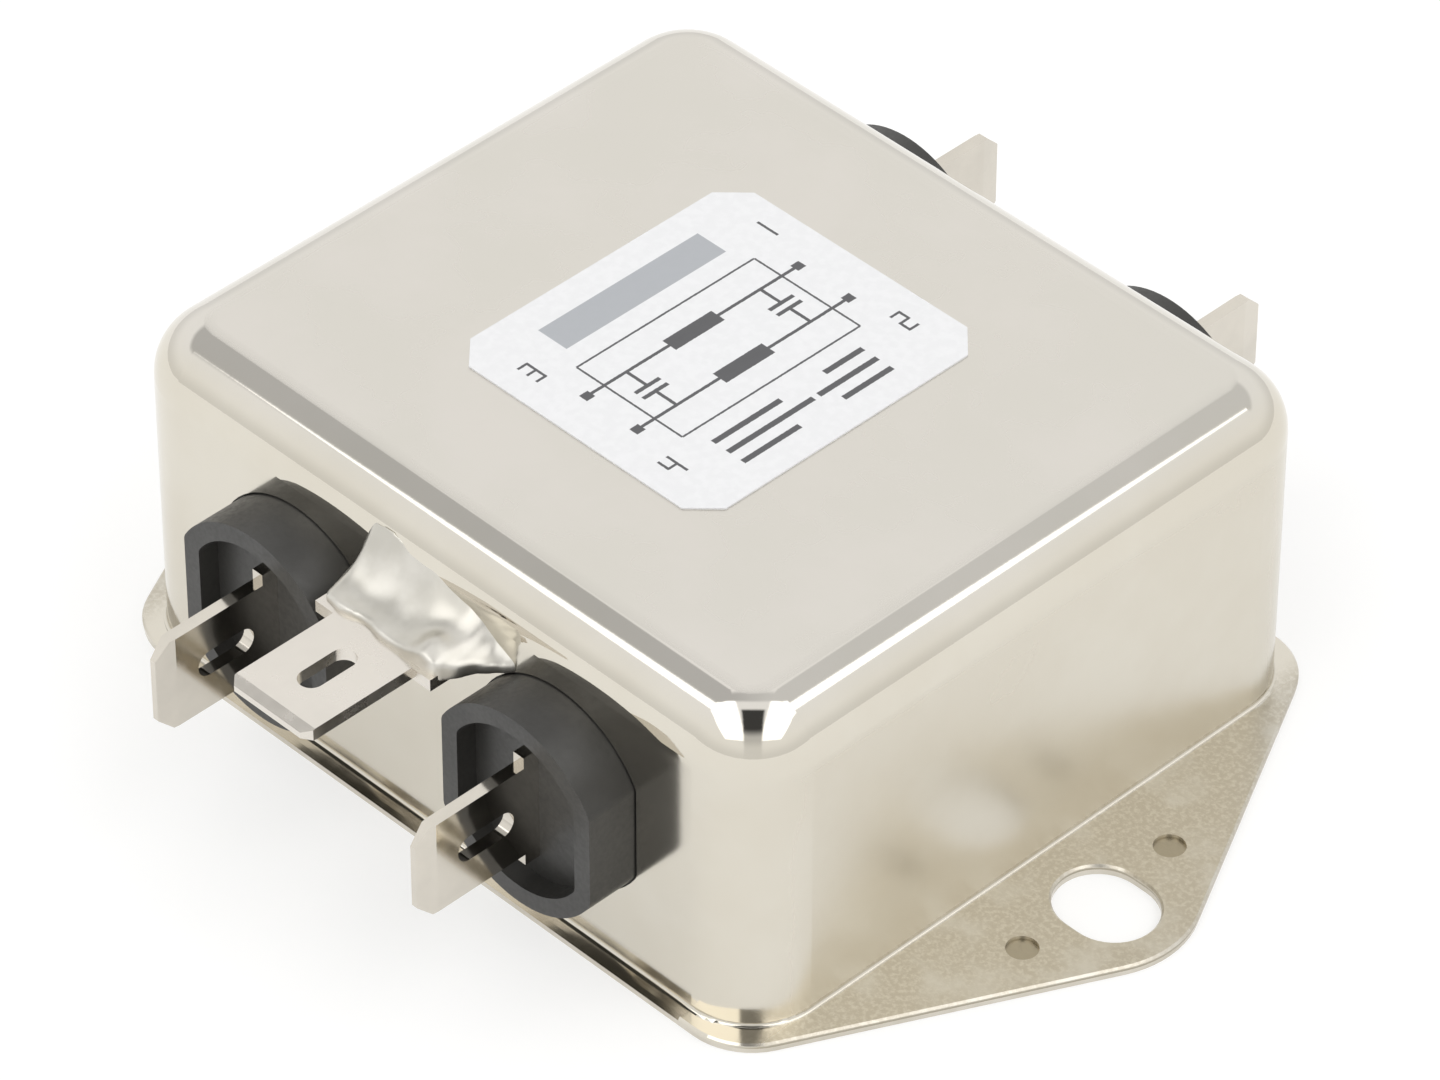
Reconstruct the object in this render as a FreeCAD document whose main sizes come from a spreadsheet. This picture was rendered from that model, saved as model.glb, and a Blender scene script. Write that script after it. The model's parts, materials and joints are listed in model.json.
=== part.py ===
import FreeCAD, Part
import Sketcher
import math
import os
import re

# EMI line filter for flange mounting, modelled as its separate pieces, in millimetres.
# +Z is up, X runs along the two mounting ears and Y along the terminals.
# The line terminals and the earth tab face -Y, and the load terminals face +Y.
# The origin is the centre of the underside of the base plate.

Vector = FreeCAD.Vector
doc = FreeCAD.newDocument("line_filter")

# Driving dimensions, one row each: name, size and what it measures
SIZES = [
    ("body_length", 50.5, "drawn can along X, outside"),
    ("body_width", 44.5, "drawn can along Y, outside"),
    ("body_height", 22.3, "underside of the base plate to the top of the can"),
    ("corner_radius", 4.6, "upright corners of the can"),
    ("top_radius", 3.6, "rounding between the walls and the top"),
    ("bend_radius", 0.25, "bend between the walls and the flange"),
    ("can_sheet", 0.3, "sheet of the can"),
    ("plate_sheet", 0.35, "sheet of the base plate"),
    ("plate_inset", 0.05, "base plate edge inside the flange edge"),
    ("flange_rim", 1.0, "base plate and flange corners in front of the long walls"),
    ("flange_stub", 0.3, "flange left between its corners in front of the long walls"),
    ("flange_lip", 0.12, "bevelled upper edge of the flange and its slots"),
    ("flange_corner_radius", 4.5, "flange corner beside an ear"),
    ("ear_tip_radius", 6.5, "rounded end of an ear"),
    ("ear_edge_angle", 27.1, "slope of an ear edge against Y, degrees"),
    ("ear_land", 1.75, "ear left outside its slot"),
    ("slot_offset", 5.4, "centre of a mounting slot in front of the end wall"),
    ("slot_length", 6.4, "mounting slot along X"),
    ("slot_width", 5.4, "mounting slot along Y"),
    ("stake_setback", 0.75, "stakes behind the slot centre"),
    ("stake_offset", 3.2, "stakes beside the slot edge"),
    ("stake_diameter", 2.0, "pressed stake that holds the base plate"),
    ("stake_depth", 0.25, "how far a stake is pressed down"),
    ("terminal_pitch", 21.0, "centre to centre of two terminals of one side"),
    ("terminal_rise", 0.95, "terminal centre above the middle of the straight wall"),
    ("blade_sheet", 0.8, "sheet of the terminal blades"),
    ("blade_width", 6.3, "push-on width of a blade"),
    ("blade_reach", 10.9, "blade tip in front of the wall"),
    ("blade_corner", 1.0, "clipped corner at a blade tip"),
    ("bevel_length", 1.35, "lead-in bevel along a blade"),
    ("bevel_depth", 0.2, "lead-in bevel into each face"),
    ("blade_hole_length", 4.1, "wire hole along the blade"),
    ("blade_hole_width", 1.7, "wire hole across the blade"),
    ("blade_hole_reach", 5.95, "wire hole centre in front of the wall"),
    ("blade_root_width", 7.8, "blade behind its shoulders"),
    ("blade_root_reach", 3.1, "shoulders in front of the wall"),
    ("tail_width", 2.4, "solder tail of a blade"),
    ("tail_length", 3.7, "solder tail behind the shroud collar"),
    ("shroud_width", 11.6, "moulded shroud over its flat sides"),
    ("shroud_crown", 1.6, "what the arched top and bottom add to that width"),
    ("shroud_clearance", 0.1, "wall opening round a shroud"),
    ("shroud_corner", 0.8, "rounding between arch and flat"),
    ("shroud_reach", 3.4, "shroud in front of the wall"),
    ("shroud_wall", 1.2, "wall round the recess"),
    ("recess_depth", 1.4, "recess in the shroud face"),
    ("collar_rim", 0.8, "collar behind the wall, wider all round"),
    ("collar_sheet", 1.2, "collar along Y"),
    ("earth_sheet", 0.8, "sheet of the earth tab"),
    ("earth_width", 6.3, "push-on width of the earth tab"),
    ("earth_sink", 0.9, "middle of the earth tab below the crown of the shrouds"),
    ("earth_reach", 11.75, "earth tab tip in front of the wall"),
    ("earth_corner", 0.5, "clipped corner at the earth tab tip"),
    ("earth_bevel", 0.65, "lead-in bevel along the earth tab"),
    ("earth_hole_length", 3.9, "wire hole along the earth tab"),
    ("earth_hole_width", 1.6, "wire hole across the earth tab"),
    ("earth_hole_reach", 7.35, "wire hole centre in front of the wall"),
    ("earth_root_gap", 0.1, "earth tab behind its shoulders, to the shroud at either side"),
    ("earth_root_reach", 4.05, "shoulders in front of the wall"),
    ("earth_foot_gap", 0.9, "foot bent down behind the wall, to the collar at either side"),
    ("earth_foot_drop", 3.0, "foot below the tab"),
    ("lump_left", 5.6, "solder lump at the left end of the tab slot, diameter"),
    ("lump_middle", 6.2, "solder lump over the tab, diameter"),
    ("lump_right", 6.4, "solder lump at the right end of the tab slot, diameter"),
    ("lump_inset", 1.3, "outer solder lumps inside the ends of the tab root"),
    ("lump_shift", 0.6, "middle lump to the right of the tab"),
    ("lump_rise", 0.85, "lump centres above the middle of the tab"),
    ("lump_offset", 0.9, "lump centres in front of the wall"),
    ("label_length", 20.3, "label along X"),
    ("label_width", 22.2, "label along Y"),
    ("label_sheet", 0.1, "label foil"),
    ("label_corner", 1.7, "clipped label corner"),
    ("insulating_clearance", 0.3, "insulating sheet inside the can wall, all round"),
    ("insulating_sheet", 0.25, "thickness of the insulating sheet"),
    ("potting_level", 2.0, "potting surface above the underside"),
    ("core_outer", 20.0, "choke core, outside diameter"),
    ("core_bore", 11.0, "choke core, bore"),
    ("core_length", 9.0, "choke core along Z"),
    ("core_edge", 1.0, "bevelled core edges"),
    ("choke_rise", 0.25, "choke centre above the terminal centres"),
    ("choke_clearance", 0.3, "room round the windings in the potting"),
    ("wire_diameter", 1.2, "choke wire"),
    ("wire_sides", 8, "flat sides of a drawn wire"),
    ("wire_clearance", 0.06, "wire over the core"),
    ("wire_bend", 0.9, "cut-off corner of a wire turn"),
    ("turns", 6, "turns of one winding"),
    ("turn_angle", 20.0, "pitch of the turns, degrees"),
    ("winding_lead_run", 5.0, "straight winding lead behind its tail"),
    ("divider_sheet", 1.0, "divider between the windings"),
    ("lead_diameter", 0.6, "leads of the small components"),
    ("lead_bend", 0.5, "cut-off corner of a thin lead"),
    ("joint_gap", 0.1, "solder between a lead and a tail"),
    ("joint_diameter", 4.6, "solder joint round a tail"),
    ("joint_clearance", 0.15, "solder joint behind the shroud collar"),
    ("film_length", 13.0, "film capacitor case along X"),
    ("film_width", 5.0, "film capacitor case along Y"),
    ("film_base", 4.6, "film capacitor cases above the underside"),
    ("film_headroom", 6.4, "film capacitor cases below the inside of the roof"),
    ("film_setback", 1.8, "film capacitor centre behind the solder joints"),
    ("film_edge", 0.5, "bevelled case edges"),
    ("film_lead_pitch", 10.0, "film capacitor leads"),
    ("film_lead_drop", 1.3, "film capacitor leads below the case"),
    ("disc_diameter", 8.0, "ceramic disc capacitor"),
    ("disc_thickness", 3.6, "ceramic disc capacitor"),
    ("disc_edge", 1.0, "bevelled rim of the coated disc"),
    ("disc_wall_gap", 6.2, "disc centre to the inside of the end wall"),
    ("disc_setback", 7.2, "disc centre behind the solder joints"),
    ("disc_lead_pitch", 5.0, "disc capacitor leads"),
    ("case_joint_setback", 2.4, "case joint behind the solder joints"),
    ("case_joint_diameter", 3.0, "solder spot that earths a disc capacitor"),
    ("case_joint_height", 0.9, "solder spot from the inside of the end wall"),
    ("resistor_diameter", 2.4, "bleed resistor body"),
    ("resistor_length", 6.5, "bleed resistor body"),
    ("resistor_edge", 0.4, "bevelled resistor ends"),
    ("resistor_gap", 0.8, "bleed resistor above the film capacitor"),
]

sheet = doc.addObject("Spreadsheet::Sheet", "Sizes")
for row, (name, number, meaning) in enumerate(SIZES, start=1):
    sheet.set("A%d" % row, name)
    sheet.set("B%d" % row, str(number))
    sheet.set("C%d" % row, meaning)
    sheet.setAlias("B%d" % row, name)
doc.recompute()
NAMES = {name for name, number, meaning in SIZES}

# Places that follow from the sizes
INNER_LENGTH = "(body_length - 2 * can_sheet)"
INNER_WIDTH = "(body_width - 2 * can_sheet)"
INNER_CORNER = "(corner_radius - can_sheet)"
INNER_TOP_RADIUS = "(top_radius - can_sheet)"
ROOF = "(body_height - can_sheet)"
CAN_HEIGHT = "(body_height - plate_sheet)"
WALL = "(body_width / 2)"
SLOT_PITCH = "(body_length + 2 * slot_offset)"
EAR_SPAN = "(%s + slot_length + 2 * ear_land)" % SLOT_PITCH
FLANGE_WIDTH = "(body_width + 2 * flange_rim)"
STAKE_PITCH_X = "(%s - 2 * stake_setback)" % SLOT_PITCH
STAKE_PITCH_Y = "(slot_width + 2 * stake_offset)"
WALL_MIDDLE = "((plate_sheet + can_sheet + bend_radius + body_height - top_radius) / 2)"
TERMINAL_HEIGHT = "(%s + terminal_rise)" % WALL_MIDDLE
SHROUD_DIAMETER = "(shroud_width + shroud_crown)"
COLLAR_BACK = "(%s - can_sheet - collar_sheet)" % WALL
BLADE_TIP = "(%s + blade_reach)" % WALL
BLADE_SHOULDER = "(%s + blade_root_reach)" % WALL
TAIL_END = "(%s - tail_length)" % COLLAR_BACK
EARTH_TIP = "(%s + earth_reach)" % WALL
EARTH_SHOULDER = "(%s + earth_root_reach)" % WALL
EARTH_HEIGHT = "(%s + %s / 2 - earth_sink)" % (TERMINAL_HEIGHT, SHROUD_DIAMETER)
EARTH_ROOT_WIDTH = "(terminal_pitch - shroud_width - 2 * earth_root_gap)"
EARTH_FOOT_WIDTH = "(terminal_pitch - shroud_width - 2 * collar_rim - 2 * earth_foot_gap)"
LUMP_PITCH = "(%s / 2 - lump_inset)" % EARTH_ROOT_WIDTH
CHOKE_HEIGHT = "(%s + choke_rise)" % TERMINAL_HEIGHT
FILM_TOP = "(%s - film_headroom)" % ROOF
RESISTOR_HEIGHT = "(%s + resistor_gap + resistor_diameter / 2)" % FILM_TOP
JOINT_REACH = "(%s - joint_clearance - joint_diameter / 2)" % COLLAR_BACK
pieces = []


def formula(text):
    """A formula in which every driving dimension is read from the sheet."""
    return re.sub(r"[a-z_]+", lambda word: "Sizes." + word[0] if word[0] in NAMES else word[0], text)


def size(text):
    """The number that a formula of driving dimensions gives."""
    return float(sheet.evalExpression(formula(text)))


def bind(item, prop, text):
    item.setExpression(prop, formula(text))


def place(item, x="0", y="0", z="0"):
    bind(item, "Placement.Base.x", x)
    bind(item, "Placement.Base.y", y)
    bind(item, "Placement.Base.z", z)


def keep(item, label):
    """Name a finished piece; its label names its file too."""
    item.Label = label
    pieces.append(item)
    return item


# Sketches

def origin_feature(body, role):
    return next(item for item in body.Origin.OriginFeatures if item.Role == role)


def new_sketch(body, role, offset=("0", "0", "0")):
    sketch = body.newObject("Sketcher::SketchObject", "sketch")
    sketch.AttachmentSupport = (origin_feature(body, role), [""])
    sketch.MapMode = "FlatFace"
    for axis, text in zip("xyz", offset):
        bind(sketch, "AttachmentOffset.Base." + axis, text)
    return sketch


def dimension(sketch, name, constraint, text):
    index = sketch.addConstraint(constraint)
    sketch.renameConstraint(index, name)
    bind(sketch, "Constraints." + name, text)


def rectangle(body, role, width, depth, offset=("0", "0", "0")):
    """A rectangle about the sketch origin."""
    sketch = new_sketch(body, role, offset)
    points = [Vector(-1, -1, 0), Vector(1, -1, 0), Vector(1, 1, 0), Vector(-1, 1, 0)]
    for index in range(4):
        sketch.addGeometry(Part.LineSegment(points[index], points[(index + 1) % 4]), False)
    for index in range(4):
        sketch.addConstraint(Sketcher.Constraint("Coincident", index, 2, (index + 1) % 4, 1))
    sketch.addConstraint(Sketcher.Constraint("Symmetric", 0, 1, 1, 1, -2))
    sketch.addConstraint(Sketcher.Constraint("Symmetric", 3, 1, 2, 1, -2))
    sketch.addConstraint(Sketcher.Constraint("Symmetric", 1, 1, 2, 1, -1))
    dimension(sketch, "width", Sketcher.Constraint("DistanceX", 0, 1, 0, 2, 2.0), width)
    dimension(sketch, "depth", Sketcher.Constraint("DistanceY", 1, 1, 1, 2, 2.0), depth)
    return sketch


def rounded_rectangle(body, role, width, depth, radius, offset=("0", "0", "0")):
    """A rectangle about the sketch origin whose four corners are arcs."""
    sketch = new_sketch(body, role, offset)
    half = 10.0
    flat = 8.0
    arc = half - flat
    right = Part.LineSegment(Vector(half, -flat, 0), Vector(half, flat, 0))
    top = Part.LineSegment(Vector(flat, half, 0), Vector(-flat, half, 0))
    left = Part.LineSegment(Vector(-half, flat, 0), Vector(-half, -flat, 0))
    bottom = Part.LineSegment(Vector(-flat, -half, 0), Vector(flat, -half, 0))
    sides = [right, top, left, bottom]
    centres = [(flat, flat), (-flat, flat), (-flat, -flat), (flat, -flat)]
    for index in range(4):
        start = index * math.pi / 2
        circle = Part.Circle(Vector(centres[index][0], centres[index][1], 0), Vector(0, 0, 1), arc)
        sketch.addGeometry(sides[index], False)
        sketch.addGeometry(Part.ArcOfCircle(circle, start, start + math.pi / 2), False)
    for index in range(8):
        line_first = index % 2 == 0
        first = index if line_first else (index + 1) % 8
        second = (index + 1) % 8 if line_first else index
        ends = (2, 1) if line_first else (1, 2)
        sketch.addConstraint(Sketcher.Constraint("Tangent", first, ends[0], second, ends[1]))
    for index in (0, 4):
        sketch.addConstraint(Sketcher.Constraint("Vertical", index))
    for index in (2, 6):
        sketch.addConstraint(Sketcher.Constraint("Horizontal", index))
    for index in (3, 5, 7):
        sketch.addConstraint(Sketcher.Constraint("Equal", 1, index))
    sketch.addConstraint(Sketcher.Constraint("Symmetric", 1, 3, 5, 3, -1, 1))
    dimension(sketch, "radius", Sketcher.Constraint("Radius", 1, arc), radius)
    dimension(sketch, "width", Sketcher.Constraint("DistanceX", 4, 1, 0, 1, 2 * half), width)
    dimension(sketch, "depth", Sketcher.Constraint("DistanceY", 6, 1, 2, 1, 2 * half), depth)
    return sketch


def obround(body, role, length, width, offset=("0", "0", "0")):
    """A slot with round ends, long along the sketch's first axis."""
    sketch = new_sketch(body, role, offset)
    across = Vector(0, 0, 1)
    right = Part.Circle(Vector(2, 0, 0), across, 1)
    left = Part.Circle(Vector(-2, 0, 0), across, 1)
    sketch.addGeometry(Part.ArcOfCircle(right, -math.pi / 2, math.pi / 2), False)
    sketch.addGeometry(Part.LineSegment(Vector(2, 1, 0), Vector(-2, 1, 0)), False)
    sketch.addGeometry(Part.ArcOfCircle(left, math.pi / 2, 3 * math.pi / 2), False)
    sketch.addGeometry(Part.LineSegment(Vector(-2, -1, 0), Vector(2, -1, 0)), False)
    sketch.addConstraint(Sketcher.Constraint("Tangent", 0, 2, 1, 1))
    sketch.addConstraint(Sketcher.Constraint("Tangent", 1, 2, 2, 1))
    sketch.addConstraint(Sketcher.Constraint("Tangent", 2, 2, 3, 1))
    sketch.addConstraint(Sketcher.Constraint("Tangent", 3, 2, 0, 1))
    sketch.addConstraint(Sketcher.Constraint("Symmetric", 0, 3, 2, 3, -1, 1))
    sketch.addConstraint(Sketcher.Constraint("PointOnObject", 0, 3, -1))
    sketch.addConstraint(Sketcher.Constraint("Equal", 0, 2))
    dimension(sketch, "radius", Sketcher.Constraint("Radius", 0, 1.0), "(%s) / 2" % width)
    dimension(sketch, "pitch", Sketcher.Constraint("DistanceX", 2, 3, 0, 3, 4.0),
              "(%s) - (%s)" % (length, width))
    return sketch


def flat_sided_circle(body, role, diameter, width, offset=("0", "0", "0")):
    """A circle about the sketch origin, cut by two upright flats."""
    sketch = new_sketch(body, role, offset)
    radius = 5.0
    flat = 4.0
    rise = 3.0
    corner = math.atan2(rise, flat)
    circle = Part.Circle(Vector(0, 0, 0), Vector(0, 0, 1), radius)
    sketch.addGeometry(Part.LineSegment(Vector(flat, -rise, 0), Vector(flat, rise, 0)), False)
    sketch.addGeometry(Part.ArcOfCircle(circle, corner, math.pi - corner), False)
    sketch.addGeometry(Part.LineSegment(Vector(-flat, rise, 0), Vector(-flat, -rise, 0)), False)
    sketch.addGeometry(Part.ArcOfCircle(circle, math.pi + corner, 2 * math.pi - corner), False)
    for index in range(4):
        sketch.addConstraint(Sketcher.Constraint("Coincident", index, 2, (index + 1) % 4, 1))
    for index in (1, 3):
        sketch.addConstraint(Sketcher.Constraint("Coincident", index, 3, -1, 1))
    for index in (0, 2):
        sketch.addConstraint(Sketcher.Constraint("Vertical", index))
    dimension(sketch, "upper", Sketcher.Constraint("Radius", 1, radius), "(%s) / 2" % diameter)
    dimension(sketch, "lower", Sketcher.Constraint("Radius", 3, radius), "(%s) / 2" % diameter)
    dimension(sketch, "right", Sketcher.Constraint("DistanceX", -1, 1, 0, 2, flat), "(%s) / 2" % width)
    dimension(sketch, "left", Sketcher.Constraint("DistanceX", 2, 1, -1, 1, flat), "(%s) / 2" % width)
    return sketch


def circle_sketch(body, role, diameter):
    """A circle about the sketch origin."""
    sketch = new_sketch(body, role)
    sketch.addGeometry(Part.Circle(Vector(0, 0, 0), Vector(0, 0, 1), 5), False)
    sketch.addConstraint(Sketcher.Constraint("Coincident", 0, 3, -1, 1))
    dimension(sketch, "radius", Sketcher.Constraint("Radius", 0, 5.0), "(%s) / 2" % diameter)
    return sketch


def four_circles(body, role, diameter, pitch_x, pitch_y, offset=("0", "0", "0")):
    """Four equal circles at the corners of a rectangle about the sketch origin."""
    sketch = new_sketch(body, role, offset)
    for x, y in ((3, 2), (-3, 2), (-3, -2), (3, -2)):
        sketch.addGeometry(Part.Circle(Vector(x, y, 0), Vector(0, 0, 1), 1), False)
    sketch.addConstraint(Sketcher.Constraint("Symmetric", 0, 3, 1, 3, -2))
    sketch.addConstraint(Sketcher.Constraint("Symmetric", 0, 3, 2, 3, -1, 1))
    sketch.addConstraint(Sketcher.Constraint("Symmetric", 0, 3, 3, 3, -1))
    for index in (1, 2, 3):
        sketch.addConstraint(Sketcher.Constraint("Equal", 0, index))
    dimension(sketch, "radius", Sketcher.Constraint("Radius", 0, 1.0), "(%s) / 2" % diameter)
    dimension(sketch, "pitch_x", Sketcher.Constraint("DistanceX", 1, 3, 0, 3, 6.0), pitch_x)
    dimension(sketch, "pitch_y", Sketcher.Constraint("DistanceY", 3, 3, 0, 3, 4.0), pitch_y)
    return sketch


def ear_outline(body, inset):
    """The flange outline before its corners are rounded: two straight rims and two pointed ears."""
    slope = "ear_edge_angle * 1 deg"
    width = "(%s - 2 * %s)" % (FLANGE_WIDTH, inset)
    past_tip = "2 * (ear_tip_radius - %s) / cos(%s)" % (inset, slope)
    point = "(%s - 2 * ear_tip_radius + %s)" % (EAR_SPAN, past_tip)
    rim = "(%s - %s * tan(%s))" % (point, width, slope)
    sketch = new_sketch(body, "XY_Plane")
    points = [(36, 0), (24, 23), (-24, 23), (-36, 0), (-24, -23), (24, -23)]
    corners = [Vector(x, y, 0) for x, y in points]
    for index in range(6):
        sketch.addGeometry(Part.LineSegment(corners[index], corners[(index + 1) % 6]), False)
    for index in range(6):
        sketch.addConstraint(Sketcher.Constraint("Coincident", index, 2, (index + 1) % 6, 1))
    sketch.addConstraint(Sketcher.Constraint("PointOnObject", 0, 1, -1))
    sketch.addConstraint(Sketcher.Constraint("Symmetric", 0, 1, 3, 1, -2))
    sketch.addConstraint(Sketcher.Constraint("Symmetric", 1, 1, 2, 1, -2))
    sketch.addConstraint(Sketcher.Constraint("Symmetric", 4, 1, 5, 1, -2))
    sketch.addConstraint(Sketcher.Constraint("Symmetric", 1, 1, 5, 1, -1))
    dimension(sketch, "point", Sketcher.Constraint("DistanceX", 3, 1, 0, 1, 72.0), point)
    dimension(sketch, "rim", Sketcher.Constraint("DistanceX", 2, 1, 1, 1, 48.0), rim)
    dimension(sketch, "width", Sketcher.Constraint("DistanceY", 5, 1, 1, 1, 46.0), width)
    return sketch


# Features

def new_body(label):
    return keep(doc.addObject("PartDesign::Body", label), label)


def pad(body, sketch, length, both_ways=False, reversed_way=False):
    feature = body.newObject("PartDesign::Pad", "pad")
    feature.Profile = sketch
    bind(feature, "Length", length)
    feature.SideType = "Symmetric" if both_ways else "One side"
    feature.Reversed = reversed_way
    doc.recompute()
    return feature


def pocket(body, sketch, depth=None, both_ways=False, reversed_way=False):
    """Cut a sketch out, through everything if no depth is given."""
    feature = body.newObject("PartDesign::Pocket", "pocket")
    before = body.Shape.Volume
    feature.Profile = sketch
    if depth is None:
        feature.Type = "ThroughAll"
    else:
        bind(feature, "Length", depth)
    feature.SideType = "Symmetric" if both_ways else "One side"
    feature.Reversed = reversed_way
    doc.recompute()
    if body.Shape.Volume >= before:
        raise RuntimeError("a pocket in %s cuts nothing" % body.Label)
    return feature


def named_edges(base, wanted):
    edges = base.Shape.Edges
    return ["Edge%d" % (index + 1) for index in range(len(edges)) if wanted(edges[index])]


def dress(body, kind, base, wanted, prop, amount):
    """Round or chamfer the edges of a feature that pass a test."""
    names = named_edges(base, wanted)
    if not names:
        raise RuntimeError("no edge to round in %s" % body.Label)
    feature = body.newObject(kind, "edge")
    feature.Base = (base, names)
    bind(feature, prop, amount)
    doc.recompute()
    return feature


def rounded(body, base, wanted, radius):
    return dress(body, "PartDesign::Fillet", base, wanted, "Radius", radius)


def chamfered(body, base, wanted, length):
    return dress(body, "PartDesign::Chamfer", base, wanted, "Size", length)


def along(edge, axis):
    """Whether an edge is straight and runs along an axis."""
    if len(edge.Vertexes) != 2 or not isinstance(edge.Curve, (Part.Line, Part.LineSegment)):
        return False
    way = edge.Vertexes[1].Point - edge.Vertexes[0].Point
    others = [abs(way[index]) for index in range(3) if index != axis]
    return max(others) < 1e-6 and abs(way[axis]) > 1e-6


def level(edge, axis, where):
    """Whether all of an edge lies at one place along an axis."""
    box = edge.BoundBox
    low = (box.XMin, box.YMin, box.ZMin)[axis]
    high = (box.XMax, box.YMax, box.ZMax)[axis]
    return abs(low - where) < 1e-3 and abs(high - where) < 1e-3


def within(edge, half_x, half_y):
    box = edge.BoundBox
    reach_x = max(abs(box.XMin), abs(box.XMax))
    reach_y = max(abs(box.YMin), abs(box.YMax))
    return reach_x < half_x + 1e-3 and reach_y < half_y + 1e-3


def round_ears(body, base, inset):
    """Round the ear tips and the flange corners."""
    def tip(edge):
        return along(edge, 2) and abs(edge.Vertexes[0].Y) < 1e-3

    def corner(edge):
        return along(edge, 2) and abs(abs(edge.Vertexes[0].Y) - half_width) < 1e-3
    half_width = size("%s / 2 - %s" % (FLANGE_WIDTH, inset))
    tips = rounded(body, base, tip, "ear_tip_radius - %s" % inset)
    return rounded(body, tips, corner, "flange_corner_radius")


# Drawn can with its flange and ears

def mounting_slots(body):
    for sign in "+-":
        centre = ("%s%s / 2" % (sign, SLOT_PITCH), "0", "0")
        pocket(body, obround(body, "XY_Plane", "slot_length", "slot_width", centre), both_ways=True)


def can_block(body, length, width, corner, height, top):
    """A block with the form of the can: rounded upright corners and a rounded top."""
    outline = rounded_rectangle(body, "XY_Plane", length, width, corner)
    block = pad(body, outline, height)
    upper = size(height)
    return rounded(body, block, lambda edge: level(edge, 2, upper), top)


def terminal_openings(body):
    """One flat-sided opening for each moulded shroud, cut through both walls at once."""
    for sign in "+-":
        centre = ("%sterminal_pitch / 2" % sign, "%s - plate_sheet" % TERMINAL_HEIGHT, "0")
        opening = flat_sided_circle(body, "XZ_Plane", "%s + 2 * shroud_clearance" % SHROUD_DIAMETER,
                                    "shroud_width + 2 * shroud_clearance", centre)
        pocket(body, opening, both_ways=True)
    middle = size("%s - plate_sheet" % TERMINAL_HEIGHT)
    reach = size(SHROUD_DIAMETER) / 2

    def corner(edge):
        thin = along(edge, 1) and abs(edge.Length - size("can_sheet")) < 1e-3
        return thin and abs(edge.BoundBox.Center.z - middle) < reach
    rounded(body, body.Tip, corner, "shroud_corner + shroud_clearance")


def trim_flange(body):
    """Cut the flange back along both long walls, from corner to corner."""
    for sign in "+-":
        middle = ("0", "%s(%s + flange_stub + flange_rim / 2)" % (sign, WALL), "0")
        strip = rectangle(body, "XY_Plane", "body_length - 2 * corner_radius", "flange_rim", middle)
        pocket(body, strip, "can_sheet", reversed_way=True)


def make_housing():
    body = new_body("housing")
    place(body, z="plate_sheet")
    crown = can_block(body, "body_length", "body_width", "corner_radius", CAN_HEIGHT, "top_radius")
    shell = body.newObject("PartDesign::Thickness", "shell")
    faces = crown.Shape.Faces
    mouth = ["Face%d" % (index + 1) for index in range(len(faces)) if faces[index].BoundBox.ZMax < 1e-3]
    shell.Base = (crown, mouth)
    bind(shell, "Value", "can_sheet")
    shell.Reversed = True
    doc.recompute()
    flange = pad(body, ear_outline(body, "0"), "can_sheet")
    round_ears(body, flange, "0")
    opening = rounded_rectangle(body, "XY_Plane", INNER_LENGTH, INNER_WIDTH, INNER_CORNER)
    mouth_cut = pocket(body, opening, "can_sheet", reversed_way=True)

    def root(edge):
        inside = within(edge, size("body_length / 2"), size("body_width / 2"))
        return inside and level(edge, 2, size("can_sheet"))
    bend = rounded(body, mouth_cut, root, "bend_radius")

    def rim(edge):
        return level(edge, 2, 0) and within(edge, size(INNER_LENGTH) / 2, size(INNER_WIDTH) / 2)
    rounded(body, bend, rim, "bend_radius + can_sheet")
    mounting_slots(body)

    def lip(edge):
        inside = within(edge, size("body_length / 2 + bend_radius"), size("body_width / 2 + bend_radius"))
        return level(edge, 2, size("can_sheet")) and not inside
    chamfered(body, body.Tip, lip, "flange_lip")
    trim_flange(body)
    terminal_openings(body)
    slot = rectangle(body, "XZ_Plane", EARTH_ROOT_WIDTH, "earth_sheet",
                     ("0", "%s - plate_sheet" % EARTH_HEIGHT, "0"))
    pocket(body, slot, reversed_way=True)
    studs = four_circles(body, "XY_Plane", "stake_diameter", STAKE_PITCH_X, STAKE_PITCH_Y)
    pad(body, studs, "stake_depth", reversed_way=True)
    dimples = four_circles(body, "XY_Plane", "stake_diameter - 2 * (can_sheet - stake_depth)",
                           STAKE_PITCH_X, STAKE_PITCH_Y, ("0", "0", "can_sheet"))
    pocket(body, dimples, "stake_depth")
    return body


def make_base_plate():
    body = new_body("base_plate")
    plate = pad(body, ear_outline(body, "plate_inset"), "plate_sheet")
    round_ears(body, plate, "plate_inset")
    mounting_slots(body)
    holes = four_circles(body, "XY_Plane", "stake_diameter", STAKE_PITCH_X, STAKE_PITCH_Y)
    pocket(body, holes, both_ways=True)
    return body


# Moulded shrouds and stamped blades, each made for the line side and turned for the load side

def set_terminal(body, turn, index):
    """Put a terminal piece at its place in the wall; the load side is turned half round."""
    place(body, "%sterminal_pitch / 2" % "-+"[index - 1], "0", TERMINAL_HEIGHT)
    bind(body, "Placement.Rotation.Angle", turn)
    body.Placement.Rotation.Axis = Vector(0, 0, 1)
    doc.recompute()


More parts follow.
